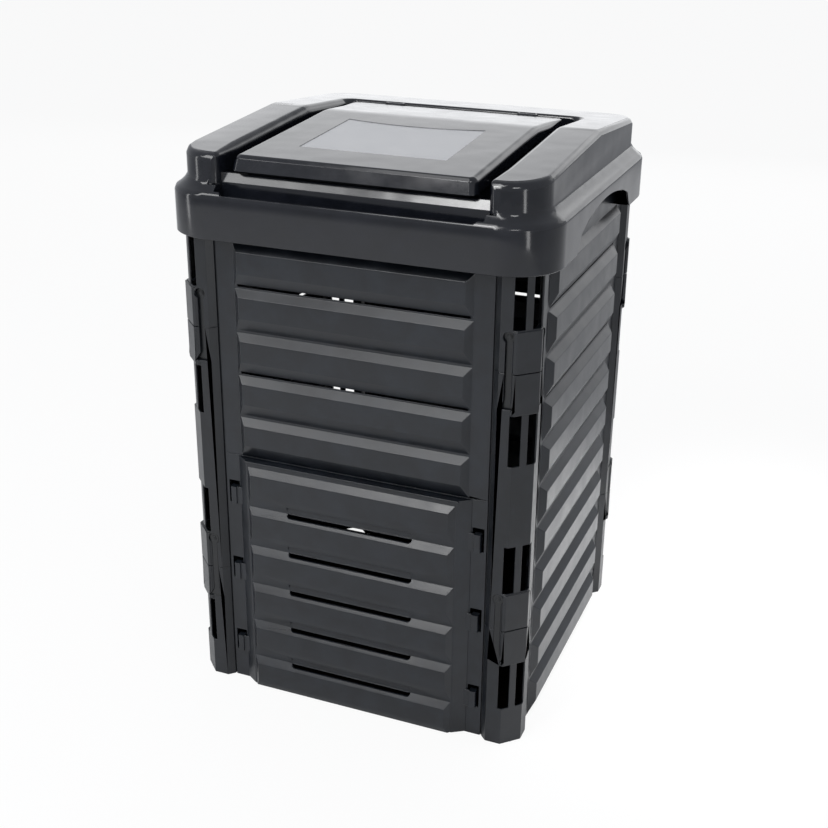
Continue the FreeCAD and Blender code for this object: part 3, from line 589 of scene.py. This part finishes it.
def louvre_tree():
    """Node tree that stacks valley cells up a wall, some of them slit, between the two end cells."""
    tree, given = new_tree("louvred_wall", (
        ("NodeSocketGeometry", ("Valley Cell",)),
        ("NodeSocketObject", ("Slit Cell", "Foot Cell", "Head Cell")),
        ("NodeSocketInt", ("Louvres", "First Slit", "Second Slit")),
        ("NodeSocketFloat", ("First Louvre", "Pitch")),
        ("NodeSocketMaterial", ("Material",))), "Wall")
    gaps = add(tree, "ShaderNodeMath", {0: (given, "Louvres"), 1: 1.0}, operation="SUBTRACT")
    start = add(tree, "ShaderNodeCombineXYZ", {"Z": (given, "First Louvre")})
    step = add(tree, "ShaderNodeCombineXYZ", {"Z": (given, "Pitch")})
    line = add(tree, "GeometryNodeMeshLine", {"Count": (gaps, "Value"), "Start Location": (start, "Vector"),
                                              "Offset": (step, "Vector")})
    index = add(tree, "GeometryNodeInputIndex")
    first = add(tree, "FunctionNodeCompare", {2: (index, "Index"), 3: (given, "First Slit")},
                data_type="INT", operation="EQUAL")
    second = add(tree, "FunctionNodeCompare", {2: (index, "Index"), 3: (given, "Second Slit")},
                 data_type="INT", operation="EQUAL")
    slit = add(tree, "FunctionNodeBooleanMath", {0: (first, "Result"), 1: (second, "Result")},
               operation="OR")
    whole = add(tree, "FunctionNodeBooleanMath", {0: (slit, "Boolean")}, operation="NOT")
    slit_in = add(tree, "GeometryNodeObjectInfo", {"Object": (given, "Slit Cell")})
    plain_rows = add(tree, "GeometryNodeInstanceOnPoints", {
        "Points": (line, "Mesh"), "Selection": (whole, "Boolean"), "Instance": (given, "Valley Cell")})
    slit_rows = add(tree, "GeometryNodeInstanceOnPoints", {
        "Points": (line, "Mesh"), "Selection": (slit, "Boolean"), "Instance": (slit_in, "Geometry")})
    foot_in = add(tree, "GeometryNodeObjectInfo", {"Object": (given, "Foot Cell")})
    foot = add(tree, "GeometryNodeTransform", {"Geometry": (foot_in, "Geometry"),
                                               "Translation": (start, "Vector")})
    rise = add(tree, "ShaderNodeMath", {0: (gaps, "Value"), 1: (given, "Pitch"), 2: (given, "First Louvre")},
               operation="MULTIPLY_ADD")
    top = add(tree, "ShaderNodeCombineXYZ", {"Z": (rise, "Value")})
    head_in = add(tree, "GeometryNodeObjectInfo", {"Object": (given, "Head Cell")})
    head = add(tree, "GeometryNodeTransform", {"Geometry": (head_in, "Geometry"),
                                               "Translation": (top, "Vector")})
    joined = add(tree, "GeometryNodeJoinGeometry")
    for part in (plain_rows.outputs["Instances"], slit_rows.outputs["Instances"], foot.outputs["Geometry"],
                 head.outputs["Geometry"]):
        tree.links.new(part, joined.inputs["Geometry"])
    real = add(tree, "GeometryNodeRealizeInstances", {"Geometry": (joined, "Geometry")})
    welded = add(tree, "GeometryNodeMergeByDistance", {"Geometry": (real, "Geometry"), "Distance": CELL_WELD})
    done = add(tree, "GeometryNodeSetMaterial", {"Geometry": (welded, "Geometry"),
                                                 "Material": (given, "Material")})
    add(tree, "NodeGroupOutput", {"Wall": (done, "Geometry")})
    return tree


def set_inputs(modifier, values):
    """Sets a node modifier's inputs by the identifiers of its named sockets."""
    for item in modifier.node_group.interface.items_tree:
        if item.item_type == "SOCKET" and item.in_out == "INPUT" and item.name in values:
            modifier[item.identifier] = values[item.name]


def build_walls():
    """All seven louvred walls, in two patterns."""
    tree = louvre_tree()
    slit = new_object("slit_cell", valley_cell(True))
    foot = new_object("foot_cell", foot_cell())
    quarter_turns = {"front": 0, "right": 1, "back": 2, "left": 3}
    tiers = (("lower", 0.0, TIER, 6, (-1, -1), ("right", "back", "left")),
             ("upper", TIER, WALL_TOP, 5, (1, 3), ("front", "right", "back", "left")))
    for tier, base, top, louvres, slits, sides in tiers:
        last = base + FIRST_LOUVRE + (louvres - 1) * PITCH
        head = new_object("head_cell", head_cell(top - last))
        wall = new_object("louvred_wall", valley_cell(False))
        maker = wall.modifiers.new("louvres", "NODES")
        maker.node_group = tree
        set_inputs(maker, {"Slit Cell": slit, "Foot Cell": foot, "Head Cell": head, "Louvres": louvres,
                           "First Slit": slits[0], "Second Slit": slits[1],
                           "First Louvre": base + FIRST_LOUVRE, "Pitch": PITCH, "Material": WALL})
        baked(wall)
        skin = wall.modifiers.new("skin", "SOLIDIFY")
        skin.thickness = SKIN
        skin.offset = -1.0
        skin.use_even_offset = True
        baked(wall)
        round_edges(wall, WALL_RADIUS, EDGE_ANGLE)
        for vert in wall.data.vertices:
            vert.co.z = max(vert.co.z, base)
        flatten_shading(wall)
        for side in sides:
            panel = new_object(f"{side}_wall_{tier}_panel", wall.data.copy())
            panel.data.transform(Matrix.Rotation(math.radians(90 * quarter_turns[side]), 4, "Z"))
            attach(panel, "bin")
            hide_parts(f"{side}_wall_{tier}")
        bpy.data.objects.remove(wall)
        bpy.data.objects.remove(head)
    bpy.data.objects.remove(slit)
    bpy.data.objects.remove(foot)


def key_mesh():
    """One lock key, standing in the front face: a bar with a round, stepped head and a flared foot."""
    bar, flare = KEY_BAR / 2, KEY_FLARE / 2
    start = math.asin(bar / KEY_HEAD)
    steps = 28
    outline = []
    for i in range(steps + 1):
        angle = math.pi - start - i * (2 * math.pi - 2 * start) / steps
        outline.append((KEY_HEAD * math.sin(angle), KEY_REACH + KEY_HEAD * math.cos(angle)))
    outline += [(-bar, -KEY_FOOT + KEY_FLARE_HIGH), (-flare, -KEY_FOOT), (flare, -KEY_FOOT),
                (bar, -KEY_FOOT + KEY_FLARE_HIGH)]
    work = bmesh.new()
    face = work.faces.new([work.verts.new((x, 0.0, z)) for x, z in outline])
    sunk = bmesh.ops.extrude_face_region(work, geom=[face])
    rear = [item for item in sunk["geom"] if isinstance(item, bmesh.types.BMVert)]
    bmesh.ops.translate(work, vec=(0, KEY_THICK, 0), verts=rear)
    for radius, proud in KEY_BOSSES:
        place = Matrix.Translation((0, -proud / 2, KEY_REACH)) @ Matrix.Rotation(math.pi / 2, 4, "X")
        bmesh.ops.create_cone(work, cap_ends=True, segments=24, radius1=radius,
                              radius2=radius - KEY_BOSS_TAPER, depth=proud, matrix=place)
    bmesh.ops.recalc_face_normals(work, faces=work.faces)
    return finished_mesh(work, "lock_key")


def key_tree():
    """Node tree that sets one key on both edges of every side, over both seams."""
    tree, given = new_tree("lock_keys", (
        ("NodeSocketGeometry", ("Key",)),
        ("NodeSocketFloat", ("Offset", "Lower Seam", "Lower Face", "Upper Seam", "Upper Face")),
        ("NodeSocketMaterial", ("Material",))), "Keys")
    mirrored = add(tree, "ShaderNodeMath", {0: (given, "Offset"), 1: -1.0}, operation="MULTIPLY")
    side = add(tree, "GeometryNodeJoinGeometry")
    for level in ("Lower", "Upper"):
        left = add(tree, "ShaderNodeCombineXYZ", {"X": (mirrored, "Value"), "Y": (given, level + " Face"),
                                                  "Z": (given, level + " Seam")})
        right = add(tree, "ShaderNodeCombineXYZ", {"X": (given, "Offset"), "Y": (given, level + " Face"),
                                                   "Z": (given, level + " Seam")})
        pair = add(tree, "GeometryNodeMeshLine", {"Count": 2, "Start Location": (left, "Vector"),
                                                  "Offset": (right, "Vector")}, mode="END_POINTS")
        keys = add(tree, "GeometryNodeInstanceOnPoints", {"Points": (pair, "Mesh"),
                                                          "Instance": (given, "Key")})
        tree.links.new(keys.outputs["Instances"], side.inputs["Geometry"])
    # Four points in the middle of the bin, each turned a quarter further than the one before it.
    sides = add(tree, "GeometryNodeMeshLine", {"Count": 4, "Offset": (0.0, 0.0, 0.0)})
    index = add(tree, "GeometryNodeInputIndex")
    turn = add(tree, "ShaderNodeMath", {0: (index, "Index"), 1: math.pi / 2}, operation="MULTIPLY")
    facing = add(tree, "ShaderNodeCombineXYZ", {"Z": (turn, "Value")})
    around = add(tree, "GeometryNodeInstanceOnPoints", {
        "Points": (sides, "Mesh"), "Instance": (side, "Geometry"), "Rotation": (facing, "Vector")})
    real = add(tree, "GeometryNodeRealizeInstances", {"Geometry": (around, "Instances")})
    done = add(tree, "GeometryNodeSetMaterial", {"Geometry": (real, "Geometry"),
                                                 "Material": (given, "Material")})
    add(tree, "NodeGroupOutput", {"Keys": (done, "Geometry")})
    return tree


def build_keys():
    keys = new_object("lock_keys", key_mesh())
    round_edges(keys, KEY_RADIUS, KEY_EDGE_ANGLE)
    flatten_shading(keys)
    maker = keys.modifiers.new("keys", "NODES")
    maker.node_group = key_tree()
    set_inputs(maker, {"Offset": KEY_OFFSET, "Lower Seam": SEAMS[0], "Lower Face": -POST_FACE + KEY_SINK[0],
                       "Upper Seam": SEAMS[1], "Upper Face": -POST_FACE + KEY_SINK[1], "Material": KEY})
    baked(keys)
    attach(keys, "bin")
    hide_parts(*[f"{corner}_lock_keys" for corner in CORNERS])


def finish_label_place(flap):
    """Gives the floor of the label's recess its dull finish, whose pale tone is a painted sheen."""
    flap.data.materials.append(LABEL_FIELD_SHEEN)
    # The faces of the label's floor get the pale painted sheen.
    for face in flap.data.polygons:
        x, y, z = face.center
        if LABEL_FRONT[1] < y < LABEL_REAR[1] and abs(x) < LABEL_FRONT[0] and face.normal.z > 0.9:
            if LABEL_DEPTH[0] < roof(y) - FLAP_SINK - z < LABEL_DEPTH[1]:
                face.material_index = len(flap.data.materials) - 1


def build_mouldings():
    """Posts, hatch and its frame, hood, flap and pins."""
    for corner in CORNERS:
        for part in ("foot", "middle", "top"):
            moulding(f"{corner}_post_{part}", POST, POST_RADIUS)
    moulding("front_hatch_frame", WALL, FRAME_RADIUS)
    moulding("hatch_door", WALL, HATCH_RADIUS)
    moulding("hood", HOOD, HOOD_RADIUS, HOOD_EDGE_ANGLE, (
        ("UNION", swept("wing_backing", recess_path(False), backing)),
        ("UNION", collar_front()),
        ("DIFFERENCE", swept("wing_rounding", recess_path(True), round_off))))
    flap = moulding("filling_flap", HOOD, FLAP_EDGE_RADIUS, FLAP_EDGE_ANGLE, (
        ("UNION", swept("flap_backing", flap_path(), backing, FLAP_SINK)),
        ("DIFFERENCE", swept("flap_rounding", flap_path(), round_off, FLAP_SINK))), FLAP_SPREAD)
    finish_label_place(flap)
    for pin in ("left_hinge_pin", "right_hinge_pin"):
        frame["nodes"][pin].data.materials.clear()
        frame["nodes"][pin].data.materials.append(PIN)


def build_camera():
    """The photograph's own place and lens."""
    azimuth, elevation, roll = (math.radians(angle) for angle in CAMERA_TURN)
    back = Vector((math.sin(azimuth) * math.cos(elevation), -math.cos(azimuth) * math.cos(elevation),
                   math.sin(elevation)))
    right = Vector((math.cos(azimuth), math.sin(azimuth), 0.0))
    up = back.cross(right)
    tilted_right = right * math.cos(roll) + up * math.sin(roll)
    tilted_up = up * math.cos(roll) - right * math.sin(roll)
    camera = bpy.data.objects.new("camera", bpy.data.cameras.new("camera"))
    bpy.context.scene.collection.objects.link(camera)
    camera.data.sensor_width = 36.0
    camera.data.lens = CAMERA_LENS
    camera.data.clip_end = 50.0
    turn = Matrix((tilted_right, tilted_up, back)).transposed()
    camera.matrix_world = Matrix.Translation(CAMERA_PLACE) @ turn.to_4x4()
    bpy.context.scene.camera = camera


def area_light(name, place, target, width, height, radiance, spread=180.0):
    """Soft box of a given radiance that faces target; spread is the width of its beam in degrees."""
    light = bpy.data.lights.new(name, "AREA")
    light.shape = "RECTANGLE"
    light.size = width
    light.size_y = height
    light.energy = radiance * math.pi * width * height
    light.spread = math.radians(spread)
    lamp = bpy.data.objects.new(name, light)
    bpy.context.scene.collection.objects.link(lamp)
    lamp.location = place
    lamp.rotation_euler = (Vector(target) - Vector(place)).to_track_quat("-Z", "Y").to_euler()


def stage_plane(name, half, height, material):
    mesh = bpy.data.meshes.new(name)
    mesh.from_pydata([(-half, -half, height), (half, -half, height), (half, half, height),
                      (-half, half, height)], [], [(0, 1, 2, 3)])
    mesh.materials.append(material)
    plane = new_object(name, mesh)


def build_studio():
    """White floor and soft boxes, each placed where one kind of surface mirrors it towards the camera.

    The hood's top mirrors the boxes behind, its rolled front edges and the collar the two high ones in front,
    the louvres' slopes the boom and the top box, the hatch's slopes the hatch box, and upright faces the
    floor that the floor boxes brighten.
    """
    paper, tree = empty_material("white_paper_floor")
    path = add(tree, "ShaderNodeLightPath")
    matt = add(tree, "ShaderNodeBsdfDiffuse", {"Color": colour("#e6e6e6")})
    glow = add(tree, "ShaderNodeEmission", {"Color": colour("#ffffff"), "Strength": 1.0})
    share = add(tree, "ShaderNodeMath", {0: (path, "Is Camera Ray"), 1: FLOOR_GLOW}, operation="MULTIPLY")
    both = add(tree, "ShaderNodeMixShader", {0: (share, "Value"), 1: (matt, "BSDF"), 2: (glow, "Emission")})
    add(tree, "ShaderNodeOutputMaterial", {"Surface": (both, "Shader")})
    stage_plane("floor", FLOOR_REACH, 0, paper)

    # A dark sheet just over the ground inside the bin is painted shade: it keeps the inside dark where it is
    # seen through the slits and vents.
    inside_shade, tree = empty_material("painted_shade_inside_bin")
    matt = add(tree, "ShaderNodeBsdfDiffuse", {"Color": colour("#191512")})
    add(tree, "ShaderNodeOutputMaterial", {"Surface": (matt, "BSDF")})
    stage_plane("soil", SHADE_SHEET_REACH, SHADE_SHEET_HEIGHT, inside_shade)

    world = bpy.data.worlds.new("studio")
    bpy.context.scene.world = world
    world.use_nodes = True
    tree = world.node_tree
    tree.nodes.clear()
    path = add(tree, "ShaderNodeLightPath")
    room = add(tree, "ShaderNodeBackground", {"Color": colour("#f6f9ff"), "Strength": ROOM_LIGHT})
    white = add(tree, "ShaderNodeBackground", {"Color": colour("#ffffff"), "Strength": 1.0})
    both = add(tree, "ShaderNodeMixShader", {0: (path, "Is Camera Ray"), 1: (room, "Background"),
                                             2: (white, "Background")})
    add(tree, "ShaderNodeOutputWorld", {"Surface": (both, "Shader")})

    area_light("boom_strip", (-0.484, -2.239, 2.857), (0.05, -0.2, 0.5), 0.45, 1.75, 6.5)
    area_light("top_box", (-0.45, -1.25, 2.75), (0.0, -0.35, 0.5), 1.0, 0.8, 2.6)
    area_light("front_box", (-0.90, -2.79, 3.12), (0.1, -0.3, 0.9), 0.70, 0.5, 15.0)
    area_light("front_right_box", (1.5, -2.79, 3.2), (0.1, -0.3, 0.9), 0.9, 0.5, 9.0)
    area_light("hatch_box", (-0.80, -2.79, 2.35), (0.1, -0.3, 0.4), 0.9, 0.4, 5.0)
    area_light("front_floor_box", (-1.7, -1.9, 2.4), (-1.0, -1.6, 0.0), 1.0, 1.0, 6.5)
    area_light("right_floor_box", (0.55, 0.35, 0.9), (0.55, 0.35, 0.0), 0.3, 1.1, 3.0, 60.0)
    area_light("rear_box", (-0.6, 4.2, 1.9), (0.0, 0.0, 0.9), 6.0, 2.6, 1.0)
    area_light("rear_right_box", (1.9, 4.2, 2.9), (0.0, 0.0, 0.9), 3.2, 1.5, 0.5)
    area_light("left_strip", (-2.6, -1.3, 0.9), (0.0, 0.0, 0.8), 0.25, 1.8, 4.0)
    area_light("right_strip", (2.7, -2.2, 0.9), (0.0, 0.0, 0.8), 0.35, 1.8, 5.0)


build_walls()
build_keys()
build_mouldings()
build_camera()
build_studio()

view = bpy.context.scene.view_settings
view.view_transform = "Standard"
